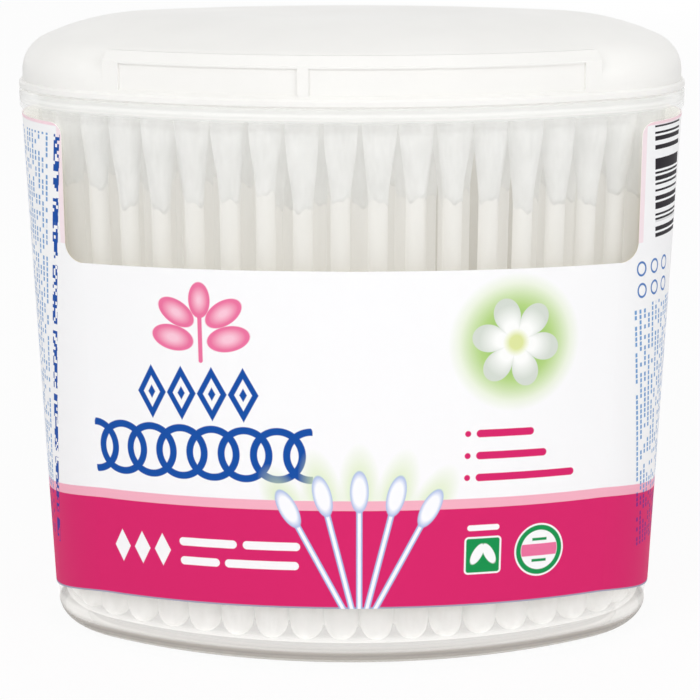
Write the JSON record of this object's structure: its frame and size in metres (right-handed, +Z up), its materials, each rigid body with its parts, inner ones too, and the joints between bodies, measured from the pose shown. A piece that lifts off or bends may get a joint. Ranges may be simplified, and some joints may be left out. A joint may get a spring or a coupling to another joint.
{
  "type": "cotton swab tub",
  "caption": "Oval clear plastic tub with a press-on domed lid and a wrapped label, open at the front as a window, filled with upright cotton swabs.",
  "frame": {"origin": "middle of the underside of the foot ring", "axes": "+Z up, X along the oval's long side, the front with the window faces -Y"},
  "size_m": [0.0904, 0.0544, 0.0852],
  "materials": {
    "clear_tub": "clear moulded plastic, slightly milky, smooth",
    "milky_lid": "translucent white moulded plastic, satin",
    "label_film": "printed plastic film, white with pink bands, semi-gloss",
    "paper_stick": "tightly rolled white paper, matte",
    "cotton": "wound cotton fibre, soft and matte"
  },
  "bodies": {
    "tub": {"tub": "clear_tub", "label": "label_film", "outer_row_sticks": "paper_stick", "outer_row_upper_tips": "cotton", "outer_row_lower_tips": "cotton", "second_row_sticks": "paper_stick", "second_row_upper_tips": "cotton", "second_row_lower_tips": "cotton", "third_row_sticks": "paper_stick", "third_row_upper_tips": "cotton", "third_row_lower_tips": "cotton", "middle_row_sticks": "paper_stick", "middle_row_upper_tips": "cotton", "middle_row_lower_tips": "cotton"},
    "lid": {"lid": "milky_lid"}
  },
  "joints": [
    {"name": "lid_lift", "type": "slide", "parent": "tub", "child": "lid", "axis": [0, 0, 1], "range_m": [0, 0.03]}
  ]
}
